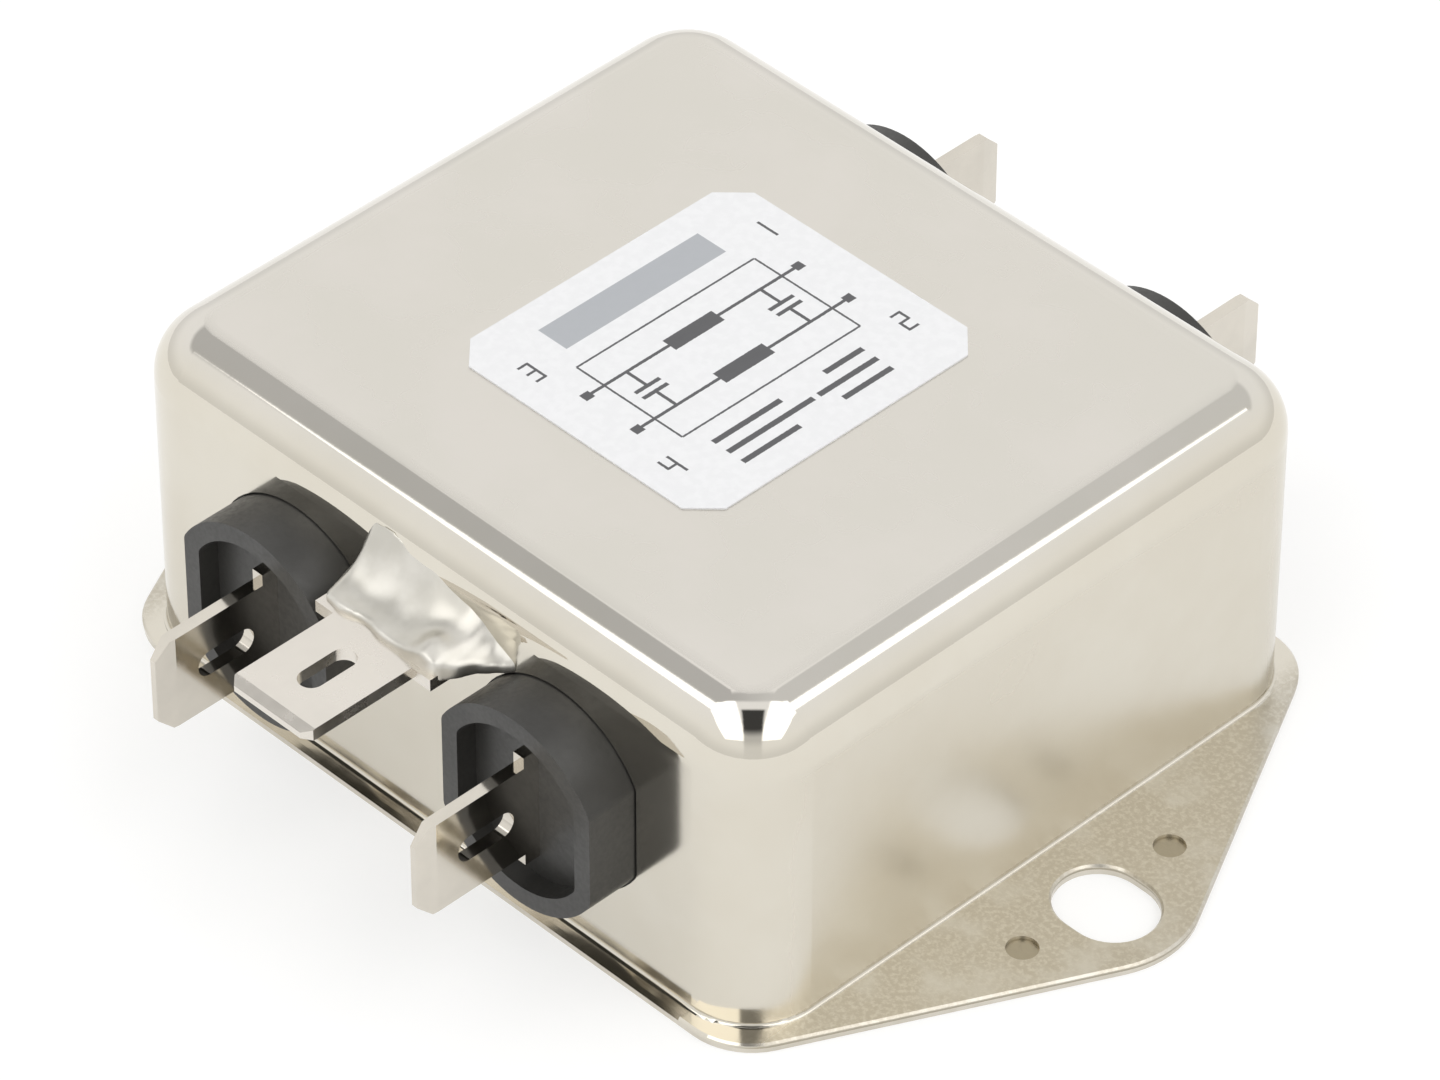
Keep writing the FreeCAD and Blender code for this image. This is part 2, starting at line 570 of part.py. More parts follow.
def make_shroud(side, turn, index, housing):
    body = doc.addObject("PartDesign::Body", "moulding")
    front = "%s + shroud_reach" % WALL
    collar = pad(body, flat_sided_circle(body, "XZ_Plane", "%s + 2 * collar_rim" % SHROUD_DIAMETER,
                                         "shroud_width + 2 * collar_rim", ("0", "0", COLLAR_BACK)),
                 "collar_sheet")
    rounded(body, collar, lambda edge: along(edge, 1), "shroud_corner + collar_rim")
    sleeve = pad(body, flat_sided_circle(body, "XZ_Plane", SHROUD_DIAMETER, "shroud_width",
                                         ("0", "0", "%s - can_sheet" % WALL)), "shroud_reach + can_sheet")
    length = size("shroud_reach + can_sheet")
    depth = size("recess_depth")
    rounded(body, sleeve,
            lambda edge: along(edge, 1) and abs(edge.Length - length) < 1e-3, "shroud_corner")
    recess = pocket(body, flat_sided_circle(body, "XZ_Plane", "%s - 2 * shroud_wall" % SHROUD_DIAMETER,
                                            "shroud_width - 2 * shroud_wall", ("0", "0", front)),
                    "recess_depth")
    rounded(body, recess,
            lambda edge: along(edge, 1) and abs(edge.Length - depth) < 1e-3, "shroud_corner")
    pocket(body, rectangle(body, "XZ_Plane", "blade_sheet", "blade_root_width", ("0", "0", front)))
    set_terminal(body, turn, index)
    return keep(carved(body, [housing]), "shroud_%s_%d" % (side, index))


def make_blade(side, turn, index):
    """A stamped blade, long along Y, with its faces square to X."""
    body = new_body("blade_%s_%d" % (side, index))

    def strip(near, far, width):
        outline = rectangle(body, "YZ_Plane", "%s - %s" % (far, near), width,
                            ("-(%s + %s) / 2" % (near, far), "0", "0"))
        return pad(body, outline, "blade_sheet", both_ways=True)
    strip(COLLAR_BACK, BLADE_SHOULDER, "blade_root_width")
    strip(TAIL_END, COLLAR_BACK, "tail_width")
    blade = strip(BLADE_SHOULDER, BLADE_TIP, "blade_width")
    tip = -size(BLADE_TIP)
    chamfered(body, blade, lambda edge: along(edge, 0) and level(edge, 1, tip), "blade_corner")
    for sign in "+-":
        wedge = new_sketch(body, "XY_Plane", ("0", "-%s" % BLADE_TIP, "0"))
        make_wedge(wedge, sign, "blade_sheet", "bevel_length")
        pocket(body, wedge, both_ways=True)
    pocket(body, obround(body, "YZ_Plane", "blade_hole_length", "blade_hole_width",
                         ("-(%s + blade_hole_reach)" % WALL, "0", "0")), both_ways=True)
    set_terminal(body, turn, index)
    return body


def make_wedge(sketch, sign, sheet_name, length_name):
    """The thin triangle that a lead-in bevel takes off one face of a blade at its tip."""
    way = 1.0 if sign == "+" else -1.0
    face = 0.4 * way
    depth = 0.2 * way
    points = [Vector(face, 1.35, 0), Vector(face - depth, 0, 0), Vector(face, 0, 0)]
    for index in range(3):
        sketch.addGeometry(Part.LineSegment(points[index], points[(index + 1) % 3]), False)
    for index in range(3):
        sketch.addConstraint(Sketcher.Constraint("Coincident", index, 2, (index + 1) % 3, 1))
    sketch.addConstraint(Sketcher.Constraint("Vertical", 2))
    sketch.addConstraint(Sketcher.Constraint("Horizontal", 1))
    sketch.addConstraint(Sketcher.Constraint("PointOnObject", 1, 1, -1))
    if sign == "+":
        dimension(sketch, "face", Sketcher.Constraint("DistanceX", -1, 1, 1, 2, 0.4), sheet_name + " / 2")
        dimension(sketch, "depth", Sketcher.Constraint("DistanceX", 1, 1, 1, 2, 0.2), "bevel_depth")
    else:
        dimension(sketch, "face", Sketcher.Constraint("DistanceX", 1, 2, -1, 1, 0.4), sheet_name + " / 2")
        dimension(sketch, "depth", Sketcher.Constraint("DistanceX", 1, 2, 1, 1, 0.2), "bevel_depth")
    dimension(sketch, "length", Sketcher.Constraint("DistanceY", 2, 1, 2, 2, 1.35), length_name)


# Earth tab, passed through the wall and bent down behind it, with its solder fillet

def make_earth_tab():
    body = new_body("earth_tab")
    inside = "%s - can_sheet" % WALL

    def strip(near, far, width):
        outline = rectangle(body, "XY_Plane", width, "%s - (%s)" % (far, near),
                            ("0", "-(%s + %s) / 2" % (near, far), "0"))
        return pad(body, outline, "earth_sheet", both_ways=True)
    strip(inside, EARTH_SHOULDER, EARTH_ROOT_WIDTH)
    blade = strip(EARTH_SHOULDER, EARTH_TIP, "earth_width")
    tip = -size(EARTH_TIP)
    chamfered(body, blade, lambda edge: along(edge, 2) and level(edge, 1, tip), "earth_corner")
    for sign in "+-":
        wedge = new_sketch(body, "YZ_Plane", ("-%s" % EARTH_TIP, "0", "0"))
        wedge.AttachmentOffset.Rotation = FreeCAD.Rotation(Vector(0, 0, 1), -90)
        make_wedge(wedge, sign, "earth_sheet", "earth_bevel")
        pocket(body, wedge, both_ways=True)
    foot = rectangle(body, "XZ_Plane", EARTH_FOOT_WIDTH, "earth_sheet + earth_foot_drop",
                     ("0", "-earth_foot_drop / 2", "%s - earth_sheet" % inside))
    pad(body, foot, "earth_sheet")
    hole = obround(body, "XY_Plane", "earth_hole_length", "earth_hole_width",
                   ("0", "-(%s + earth_hole_reach)" % WALL, "0"))
    hole.AttachmentOffset.Rotation = FreeCAD.Rotation(Vector(0, 0, 1), 90)
    pocket(body, hole, both_ways=True)
    place(body, z=EARTH_HEIGHT)
    return body


def make_earth_solder(tools):
    """Three smooth lumps run together on the wall and on the root of the tab."""
    lumps = []
    for step, diameter in ((-1, "lump_left"), (0, "lump_middle"), (1, "lump_right")):
        lump = doc.addObject("Part::Sphere", "lump")
        bind(lump, "Radius", diameter + " / 2")
        lump.Placement.Rotation = FreeCAD.Rotation(Vector(0, 1, 0), 90)
        place(lump, "lump_shift + %d * %s" % (step, LUMP_PITCH), "-(%s + lump_offset)" % WALL,
              "%s + lump_rise" % EARTH_HEIGHT)
        lumps.append(lump)
    form = doc.addObject("PartDesign::Body", "form")
    can_block(form, "body_length", "body_width", "corner_radius", "body_height", "top_radius")
    return keep(carved(fused(lumps), [form] + tools), "earth_solder")


# Pieces made of plain solids

def cylinder(diameter, height, centre, axis=Vector(0, 0, 1)):
    """A cylinder about its centre; the axis is one of the three directions."""
    item = doc.addObject("Part::Cylinder", "cylinder")
    bind(item, "Radius", "(%s) / 2" % diameter)
    bind(item, "Height", height)
    shift = ["%s - %g * (%s) / 2" % (centre[index], axis[index], height) for index in range(3)]
    place(item, *shift)
    item.Placement.Rotation = FreeCAD.Rotation(Vector(0, 0, 1), axis)
    return item


def fused(items):
    union = doc.addObject("Part::MultiFuse", "union")
    union.Shapes = items
    doc.recompute()
    return union


def carved(item, tools):
    """Cut tools out of a solid one after another."""
    for tool in tools:
        cut = doc.addObject("Part::Cut", "cut")
        cut.Base = item
        cut.Tool = tool
        item = cut
    doc.recompute()
    return item


def many_sided(centre, way, diameter):
    """A regular outline square to a way, of the same area as the circle."""
    sides = int(size("wire_sides"))
    first = way.cross(Vector(0, 0, 1)) if abs(way.z) < 0.9 * way.Length else Vector(1, 0, 0)
    first.normalize()
    second = way.cross(first).normalize()
    radius = diameter * math.sqrt(math.pi / (2 * sides * math.sin(2 * math.pi / sides)))
    corners = []
    for step in range(sides + 1):
        angle = 2 * math.pi * (step % sides + 0.5) / sides
        corners.append(centre + first * (radius * math.cos(angle)) + second * (radius * math.sin(angle)))
    return Part.makePolygon(corners)


def wire(points, diameter, corner):
    """A wire along straight runs whose corners are cut off."""
    path = [points[0]]
    for index in range(1, len(points) - 1):
        here = points[index]
        before = (here - points[index - 1]).normalize()
        after = (points[index + 1] - here).normalize()
        trim = corner * math.tan(before.getAngle(after) / 2)
        path += [here - before * trim, here + after * trim]
    path.append(points[-1])
    outline = many_sided(points[0], points[1] - points[0], diameter)
    return Part.makePolygon(path).makePipeShell([outline], True, False, 1)


def lead(points):
    """A thin lead through places given as formulas."""
    item = doc.addObject("Part::Feature", "lead")
    places = [Vector(*[size(text) for text in point]) for point in points]
    item.Shape = wire(places, size("lead_diameter"), size("lead_bend"))
    return item


def round_rod(diameter, length, edge_radius):
    """A rod along X about its centre, with bevelled ends."""
    body = doc.addObject("PartDesign::Body", "rod")
    rod = pad(body, circle_sketch(body, "YZ_Plane", diameter), length, both_ways=True)
    chamfered(body, rod, lambda edge: isinstance(edge.Curve, Part.Circle), edge_radius)
    return body


# Common-mode choke: ferrite ring, two windings wound as mirror images and a divider in the bore

def make_core():
    body = new_body("choke_core")
    ring = pad(body, circle_sketch(body, "XY_Plane", "core_outer"), "core_length", both_ways=True)
    bore = pocket(body, circle_sketch(body, "XY_Plane", "core_bore"), both_ways=True)
    chamfered(body, bore, lambda edge: isinstance(edge.Curve, Part.Circle), "core_edge")
    place(body, z=CHOKE_HEIGHT)
    return body


def make_winding(index):
    """Turns of round wire with a straight lead beside each of the two tails they join."""
    outer = size("core_outer / 2 + wire_clearance + wire_diameter / 2")
    inner = size("core_bore / 2 - wire_clearance - wire_diameter / 2")
    rise = size("core_length / 2 + wire_clearance + wire_diameter / 2")
    middle = size(CHOKE_HEIGHT)
    turns = int(size("turns"))
    beside = size("terminal_pitch / 2 + blade_sheet / 2 + joint_gap + wire_diameter / 2")
    tail = size("%s + joint_diameter / 4" % JOINT_REACH)
    run = size("winding_lead_run")
    height = size(TERMINAL_HEIGHT)

    def at(radius, turn, level_z):
        angle = math.radians((turn - turns / 2) * size("turn_angle"))
        return Vector(radius * math.cos(angle), radius * math.sin(angle), level_z)
    points = [Vector(beside, -tail, height), Vector(beside, run - tail, height), at(outer, 0, height)]
    for turn in range(turns):
        points.append(at(outer, turn, middle + rise))
        points.append(at(inner, turn, middle + rise))
        points.append(at(inner, turn, middle - rise))
        points.append(at(outer, turn + 1, middle - rise))
    points += [at(outer, turns, height), Vector(beside, tail - run, height), Vector(beside, tail, height)]
    if index == 1:
        points = [Vector(-point.x, point.y, point.z) for point in points]
    item = doc.addObject("Part::Feature", "winding")
    item.Shape = wire(points, size("wire_diameter"), size("wire_bend"))
    return keep(item, "choke_winding_%d" % index)


def make_divider():
    height = "core_length + 2 * (wire_clearance + wire_diameter)"
    slab = doc.addObject("Part::Box", "slab")
    bind(slab, "Length", "divider_sheet")
    bind(slab, "Width", "core_bore + 1 * core_edge")
    bind(slab, "Height", height)
    place(slab, "-divider_sheet / 2", "-(core_bore + 1 * core_edge) / 2", "%s - (%s) / 2" % (CHOKE_HEIGHT, height))
    common = doc.addObject("Part::Common", "common")
    common.Base = slab
    common.Tool = cylinder("core_bore", height, ("0", "0", CHOKE_HEIGHT))
    doc.recompute()
    return keep(common, "choke_divider")


# Film capacitors across the line, disc capacitors to the case and the bleed resistor

def make_film_capacitor(side, sign):
    """A moulded box on two leads that rise inside the two tails of its side."""
    reach = "(%s - film_setback)" % JOINT_REACH
    low = "film_base"
    case = doc.addObject("PartDesign::Body", "case")
    block = pad(case, rectangle(case, "XY_Plane", "film_length", "film_width"), "%s - film_base" % FILM_TOP)
    chamfered(case, block, lambda edge: not level(edge, 2, 0), "film_edge")
    place(case, "0", "%s%s" % (sign, reach), low)
    under = "%s - film_lead_drop" % low
    beside = "(terminal_pitch / 2 - blade_sheet / 2 - joint_gap - lead_diameter / 2)"
    parts = [case]
    for way in "-+":
        parts.append(lead([
            ("%sfilm_lead_pitch / 2" % way, "%s%s" % (sign, reach), "%s + film_edge" % low),
            ("%sfilm_lead_pitch / 2" % way, "%s%s" % (sign, reach), under),
            ("%s%s" % (way, beside), "%s%s" % (sign, JOINT_REACH), under),
            ("%s%s" % (way, beside), "%s%s" % (sign, JOINT_REACH), "%s + tail_width / 2" % TERMINAL_HEIGHT),
        ]))
    return keep(fused(parts), "film_capacitor_%s" % side)


def make_disc_capacitor(index):
    """A coated disc from a load tail to the end wall."""
    way = "-+"[index - 1]
    centre_x = "%s(%s / 2 - disc_wall_gap)" % (way, INNER_LENGTH)
    centre_y = "(%s - disc_setback)" % JOINT_REACH
    disc = round_rod("disc_diameter", "disc_thickness", "disc_edge")
    place(disc, centre_x, centre_y, TERMINAL_HEIGHT)
    edge_y = "(%s + disc_diameter / 2 - disc_edge)" % centre_y
    upper = "(%s + disc_lead_pitch / 2)" % TERMINAL_HEIGHT
    lower = "(%s - disc_lead_pitch / 2)" % TERMINAL_HEIGHT
    above = "(%s + tail_width / 2 + joint_gap + lead_diameter / 2)" % TERMINAL_HEIGHT
    spot_y = "(%s - case_joint_setback)" % JOINT_REACH
    to_tail = lead([
        (centre_x, edge_y, upper),
        (centre_x, JOINT_REACH, upper),
        ("%s(terminal_pitch / 2 - blade_sheet)" % way, JOINT_REACH, above),
    ])
    to_case = lead([
        (centre_x, edge_y, lower),
        (centre_x, spot_y, lower),
        ("%s%s / 2" % (way, INNER_LENGTH), spot_y, lower),
    ])
    return keep(fused([disc, to_tail, to_case]), "disc_capacitor_%d" % index)


def make_case_joint(index, disc):
    """A spot of solder that holds a disc capacitor's lead to the end wall."""
    way = "-+"[index - 1]
    centre = ("%s(%s / 2 - case_joint_height / 2)" % (way, INNER_LENGTH),
              "(%s - case_joint_setback)" % JOINT_REACH,
              "(%s - disc_lead_pitch / 2)" % TERMINAL_HEIGHT)
    spot = cylinder("case_joint_diameter", "case_joint_height", centre, Vector(1, 0, 0))
    return keep(carved(spot, [disc]), "case_joint_%d" % index)


def make_resistor():
    """The bleed resistor over the line capacitor, its leads bent down to the line tails."""
    height = RESISTOR_HEIGHT
    rod = round_rod("resistor_diameter", "resistor_length", "resistor_edge")
    place(rod, "0", "-%s" % JOINT_REACH, height)
    end = "(resistor_length / 2 - resistor_edge)"
    above = "%s + tail_width / 2 + joint_gap" % TERMINAL_HEIGHT
    parts = [rod]
    for way in "-+":
        parts.append(lead([
            ("%s%s" % (way, end), "-%s" % JOINT_REACH, height),
            ("%sterminal_pitch / 2" % way, "-%s" % JOINT_REACH, height),
            ("%sterminal_pitch / 2" % way, "-%s" % JOINT_REACH, above),
        ]))
    return keep(fused(parts), "bleed_resistor")


def make_solder_joint(side, sign, index, tools):
    ball = doc.addObject("Part::Sphere", "ball")
    bind(ball, "Radius", "joint_diameter / 2")
    place(ball, "%sterminal_pitch / 2" % "-+"[index - 1], "%s%s" % (sign, JOINT_REACH), TERMINAL_HEIGHT)
    return keep(carved(ball, tools), "solder_joint_%s_%d" % (side, index))


# Label, insulating sheet and potting

def make_label():
    body = new_body("label")
    foil = pad(body, rectangle(body, "XY_Plane", "label_length", "label_width"), "label_sheet")
    chamfered(body, foil, lambda edge: along(edge, 2), "label_corner")
    place(body, z="body_height")
    return body


def make_insulating_sheet():
    body = new_body("insulating_sheet")
    outline = rounded_rectangle(body, "XY_Plane", "%s - 2 * insulating_clearance" % INNER_LENGTH,
                                "%s - 2 * insulating_clearance" % INNER_WIDTH,
                                "%s - insulating_clearance" % INNER_CORNER)
    pad(body, outline, "insulating_sheet")
    place(body, z="plate_sheet")
    return body


def room(low_x, high_x, low_y, high_y, low_z, high_z):
    """A box-shaped space in the resin between six places."""
    item = doc.addObject("Part::Box", "room")
    bind(item, "Length", "%s - (%s)" % (high_x, low_x))
    bind(item, "Width", "%s - (%s)" % (high_y, low_y))
    bind(item, "Height", "%s - (%s)" % (high_z, low_z))
    place(item, low_x, low_y, low_z)
    return item


def make_potting(tools):
    """Resin that fills the can from its top down, with a room for each component."""
    form = doc.addObject("PartDesign::Body", "resin")
    can_block(form, INNER_LENGTH, INNER_WIDTH, INNER_CORNER, "%s - potting_level" % ROOF, INNER_TOP_RADIUS)
    place(form, z="potting_level")
    wound = "2 * (wire_clearance + wire_diameter + choke_clearance)"
    outer = cylinder("core_outer + %s" % wound, "core_length + %s" % wound, ("0", "0", CHOKE_HEIGHT))
    post = cylinder("core_bore - %s" % wound, "core_length + 2 * %s" % wound, ("0", "0", CHOKE_HEIGHT))
    rooms = [carved(outer, [post])]
    joint = "(joint_diameter / 2)"
    film_y = "(%s - film_setback)" % JOINT_REACH
    disc_x = "(%s / 2 - disc_wall_gap)" % INNER_LENGTH
    disc_y = "(%s - disc_setback)" % JOINT_REACH
    below = "potting_level - plate_sheet"
    far = "(terminal_pitch / 2 + %s)" % joint
    near = "(terminal_pitch / 2 - %s)" % joint
    for way in "-+":
        low_y = "-%s" % COLLAR_BACK if way == "-" else "(core_outer / 2 + wire_diameter)"
        high_y = "-(core_outer / 2 + wire_diameter)" if way == "-" else COLLAR_BACK
        for side in "-+":
            low_x = "-%s" % far if side == "-" else near
            high_x = "-%s" % near if side == "-" else far
            rooms.append(room(low_x, high_x, low_y, high_y, below, "%s + %s" % (TERMINAL_HEIGHT, joint)))
        middle = "%s%s" % (way, film_y)
        rooms.append(room("-film_length / 2", "film_length / 2", "%s - film_width / 2" % middle,
                          "%s + film_width / 2" % middle, "film_base", FILM_TOP))
        rooms.append(room("-%s" % far, far, "%s - film_width / 2" % middle, "%s + film_width / 2" % middle,
                          below, "film_base"))
    for way in "-+":
        centre = "%s%s" % (way, disc_x)
        wall = "-%s / 2" % INNER_LENGTH if way == "-" else near
        end = "-%s" % near if way == "-" else "%s / 2" % INNER_LENGTH
        rooms.append(room(wall, end, "%s - disc_diameter / 2" % disc_y,
                          "%s + lead_diameter" % JOINT_REACH, below,
                          "%s + disc_diameter / 2 + lead_diameter" % TERMINAL_HEIGHT))
    rooms.append(room("-%s" % far, far, "-(%s + resistor_diameter)" % JOINT_REACH, "-%s" % film_y,
                      "%s + %s" % (TERMINAL_HEIGHT, joint), "%s + resistor_diameter" % RESISTOR_HEIGHT))
    return keep(carved(form, rooms + tools), "potting_compound")


housing = make_housing()
make_base_plate()
make_label()
make_insulating_sheet()
shrouds = []
blades = {}
for side, turn in (("line", "0"), ("load", "180")):
    for index in (1, 2):
        shrouds.append(make_shroud(side, turn, index, housing))
        blades[side, index] = make_blade(side, turn, index)
earth_tab = make_earth_tab()
make_earth_solder([earth_tab] + shrouds[:2])
make_core()
windings = [make_winding(1), make_winding(2)]
divider = make_divider()
films = {"line": make_film_capacitor("line", "-"), "load": make_film_capacitor("load", "+")}
discs = [make_disc_capacitor(1), make_disc_capacitor(2)]
spots = [make_case_joint(1, discs[0]), make_case_joint(2, discs[1])]
resistor = make_resistor()
joints = []
for side, sign in (("line", "-"), ("load", "+")):
    for index in (1, 2):
        fourth = resistor if side == "line" else discs[index - 1]
        tools = [blades[side, index], films[side], windings[index - 1], fourth]
        joints.append(make_solder_joint(side, sign, index, tools))
make_potting(shrouds + list(blades.values()) + windings + [earth_tab, divider])

doc.recompute()
for item in doc.Objects:
    if "Invalid" in item.State or "Error" in item.State:
        raise RuntimeError("%s did not build: %s" % (item.Label, item.State))
os.makedirs("parts", exist_ok=True)
for item in pieces:
    if item.Shape.isNull() or not item.Shape.isValid():
        raise RuntimeError("%s has no valid shape" % item.Label)
    item.Shape.exportStep("parts/%s.step" % item.Label)
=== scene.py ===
import bpy
import bmesh
import json
import math
from mathutils import Matrix, Vector


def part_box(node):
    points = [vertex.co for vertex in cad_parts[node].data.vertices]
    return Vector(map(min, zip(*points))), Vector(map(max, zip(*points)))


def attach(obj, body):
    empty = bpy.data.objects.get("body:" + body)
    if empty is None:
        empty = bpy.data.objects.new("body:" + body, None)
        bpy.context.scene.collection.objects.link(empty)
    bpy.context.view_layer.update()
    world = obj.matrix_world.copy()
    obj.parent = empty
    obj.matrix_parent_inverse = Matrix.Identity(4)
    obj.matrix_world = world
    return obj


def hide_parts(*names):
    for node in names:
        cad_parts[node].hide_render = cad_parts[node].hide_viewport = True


# EMI line filter on a pale floor. Lengths are in metres, in the frame of the model, unless a
# comment or a factor MM says millimetres.

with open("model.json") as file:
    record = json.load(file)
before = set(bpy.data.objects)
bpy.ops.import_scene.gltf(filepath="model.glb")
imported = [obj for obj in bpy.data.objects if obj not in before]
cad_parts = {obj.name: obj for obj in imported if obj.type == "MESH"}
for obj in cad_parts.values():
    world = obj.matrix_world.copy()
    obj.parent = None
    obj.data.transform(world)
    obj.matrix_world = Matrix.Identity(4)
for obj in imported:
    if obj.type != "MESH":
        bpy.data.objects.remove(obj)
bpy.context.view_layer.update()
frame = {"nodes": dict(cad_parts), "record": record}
nodes = frame["nodes"]
MM = 0.001


# Short calls for node trees

def set_inputs(item, values):
    for key, value in values.items():
        item.inputs[key].default_value = value


def shaded(color, factor):
    """A colour made darker or lighter."""
    return tuple(min(1.0, factor * part) for part in color)


class Tree:
    """A node tree. What feeds a socket is an output to link, or a plain value."""

    def __init__(self, tree):
        self.tree = tree

    def node(self, kind, **settings):
        item = self.tree.nodes.new(kind)
        for key, value in settings.items():
            setattr(item, key, value)
        return item

    def feed(self, source, target):
        if hasattr(source, "is_linked"):
            self.tree.links.new(source, target)
        else:
            target.default_value = source

    def math(self, operation, first, second=0.0, kind="ShaderNodeMath"):
        item = self.node(kind, operation=operation)
        self.feed(first, item.inputs[0])
        self.feed(second, item.inputs[1])
        return item.outputs[0]

    def times(self, first, second):
        return self.math("MULTIPLY", first, second)

    def plus(self, first, second):
        return self.math("ADD", first, second)

    def minus(self, first, second):
        return self.math("SUBTRACT", first, second)

    def ramp(self, source, low, high, first=0.0, last=1.0):
        """From the first value to the last as the source goes from low to high, smooth and clamped."""
        item = self.node("ShaderNodeMapRange", interpolation_type="SMOOTHSTEP")
        self.feed(source, item.inputs["Value"])
        set_inputs(item, {"From Min": low, "From Max": high, "To Min": first, "To Max": last})
        return item.outputs["Result"]

    def split(self, vector):
        """The parts X, Y and Z of a vector."""
        item = self.node("ShaderNodeSeparateXYZ")
        self.feed(vector, item.inputs[0])
        return item.outputs


class Surface(Tree):
    """A material with one Principled shader, whose patterns lie in the object's own place."""

    def __init__(self, name, color, metallic=0.0, roughness=0.5, extra=None):
        self.material = bpy.data.materials.new(name)
        self.material.use_nodes = True
        super().__init__(self.material.node_tree)
        self.shader = self.tree.nodes["Principled BSDF"]
        values = {"Base Color": (*color, 1.0), "Metallic": metallic, "Roughness": roughness}
        set_inputs(self.shader, {**values, **(extra or {})})
        self.place = self.node("ShaderNodeTexCoord").outputs["Object"]
        self.last_bump = None

    def to(self, output, socket):
        self.feed(output, self.shader.inputs[socket])

    def stretch(self, x, y, z):
        """The place scaled along each axis. A pattern there is drawn out along the smallest scale."""
        item = self.node("ShaderNodeMapping")
        self.feed(self.place, item.inputs["Vector"])
        set_inputs(item, {"Scale": (x, y, z)})
        return item.outputs["Vector"]

    def noise(self, scale, detail=3.0, rough=0.5, where=None, distortion=0.0):
        """Soft patches, as many in a metre as the scale says."""
        item = self.node("ShaderNodeTexNoise")
        self.feed(where or self.place, item.inputs["Vector"])
        values = {"Scale": scale, "Detail": detail, "Roughness": rough, "Distortion": distortion}
        set_inputs(item, values)
        return item.outputs["Fac"]

    def mix(self, share, first, second):
        """From the first colour to the second. A colour is an output, or its three parts."""
        item = self.node("ShaderNodeMix", data_type="RGBA")
        self.feed(share, item.inputs["Factor"])
        for color, target in ((first, item.inputs["A"]), (second, item.inputs["B"])):
            self.feed((*color, 1.0) if isinstance(color, tuple) else color, target)
        return item.outputs["Result"]

    def patches(self, pattern, low, high, first, second):
        """The first colour where a pattern is under low, the second where it is over high."""
        return self.mix(self.ramp(pattern, low, high), first, second)

    def bump(self, height, depth, strength):
        """Relief of a depth in metres, over the relief that is already there."""
        item = self.node("ShaderNodeBump")
        self.feed(height, item.inputs["Height"])
        set_inputs(item, {"Distance": depth, "Strength": strength})
        if self.last_bump:
            self.feed(self.last_bump.outputs["Normal"], item.inputs["Normal"])
        self.last_bump = item
        self.to(item.outputs["Normal"], "Normal")


# Places on the drawn can that its material goes by

CAN_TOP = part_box("housing")[1][2]
CAN_SHEET = 0.3 * MM
FLANGE_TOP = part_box("base_plate")[1][2] + CAN_SHEET
CAN_END = 25.25 * MM


